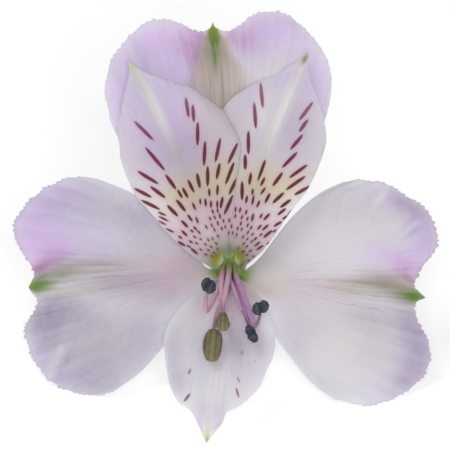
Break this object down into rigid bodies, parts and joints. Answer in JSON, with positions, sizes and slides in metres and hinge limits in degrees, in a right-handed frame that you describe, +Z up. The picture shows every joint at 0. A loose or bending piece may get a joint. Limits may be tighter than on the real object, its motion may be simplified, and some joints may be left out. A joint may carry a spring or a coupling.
{
  "type": "alstroemeria flower",
  "caption": "Single open lilac and white alstroemeria flower with streaked upper tepals, stamens, ovary and its own short cut stalk, lying on a surface.",
  "frame": {"origin": "on the surface the flower lies on, under the middle of its bounding box", "axes": "+Z up from the surface; +Y along the lying stalk towards its cut end, so the open face looks towards -Y and up; +X to the right of the face as its viewer sees it"},
  "size_m": [0.069, 0.092, 0.0547],
  "materials": {
    "outer_tepal": "satin petal, lilac lobes, whiter middle, green point",
    "streaked_tepal": "satin petal, maroon streaks, cream yellow band, lilac shoulders",
    "lower_tepal": "satin petal, nearly white lavender",
    "filament": "smooth, pink lilac, green at the base",
    "open_anther": "dusty blue grey pollen",
    "closed_anther": "smooth olive brown sacs",
    "style": "smooth, pale pink",
    "ovary": "smooth ribbed green",
    "stalk": "smooth fresh green"
  },
  "bodies": {
    "root": {"outer_tepal_top": "outer_tepal", "outer_tepal_left": "outer_tepal", "outer_tepal_right": "outer_tepal", "inner_tepal_upper_left": "streaked_tepal", "inner_tepal_upper_right": "streaked_tepal", "inner_tepal_lower": "lower_tepal", "filament_left": "filament", "anther_left": "open_anther", "filament_lower_left": "filament", "anther_lower_left": "closed_anther", "filament_lower_right": "filament", "anther_lower_right": "open_anther", "filament_right": "filament", "anther_right": "open_anther", "filament_middle": "filament", "anther_middle": "closed_anther", "filament_behind": "filament", "anther_behind": "closed_anther", "style": "style", "ovary": "ovary", "stalk": "stalk"}
  },
  "joints": []
}
